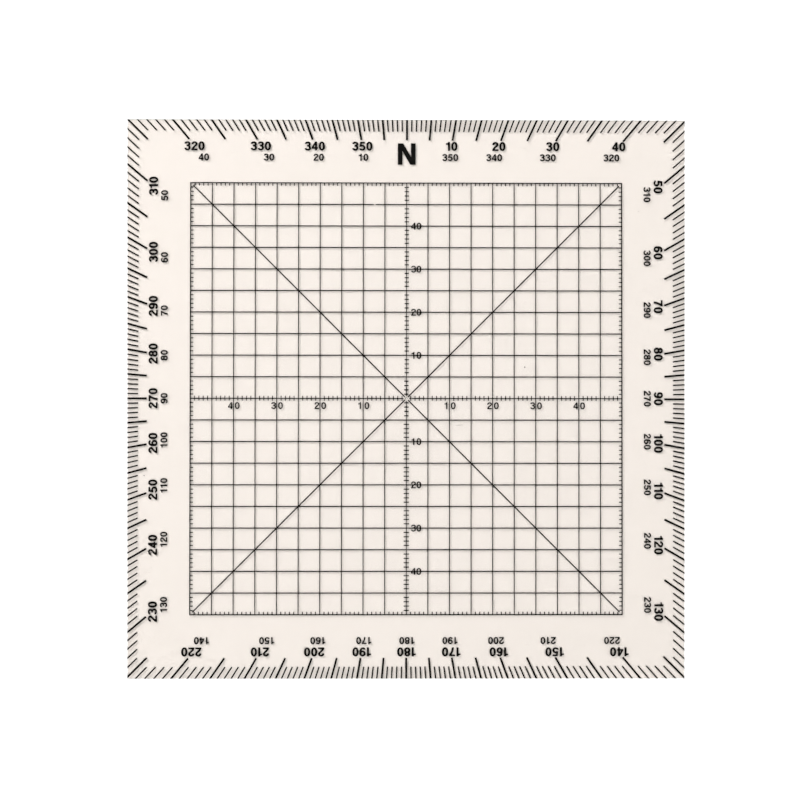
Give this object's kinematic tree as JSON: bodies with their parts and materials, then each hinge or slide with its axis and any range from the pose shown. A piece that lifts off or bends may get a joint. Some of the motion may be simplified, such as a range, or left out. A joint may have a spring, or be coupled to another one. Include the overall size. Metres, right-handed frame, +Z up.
{
  "type": "square protractor",
  "caption": "Clear square chart protractor sheet with a degree scale round its edge, a ruled square grid with two diagonals, and a small centre hole.",
  "frame": {"origin": "middle of the sheet's underside, on the axis of the centre hole", "axes": "+Z up out of the printed face, +Y towards the bearing of 0 degrees, +X towards the bearing of 90 degrees"},
  "size_m": [0.1294, 0.1294, 0.0005],
  "materials": {
    "clear_plastic": "clear, faintly cream, smooth",
    "black_ink": "printed, matte black"
  },
  "bodies": {
    "root": {"clear_sheet": "clear_plastic", "grid_ink": "black_ink"}
  },
  "joints": []
}
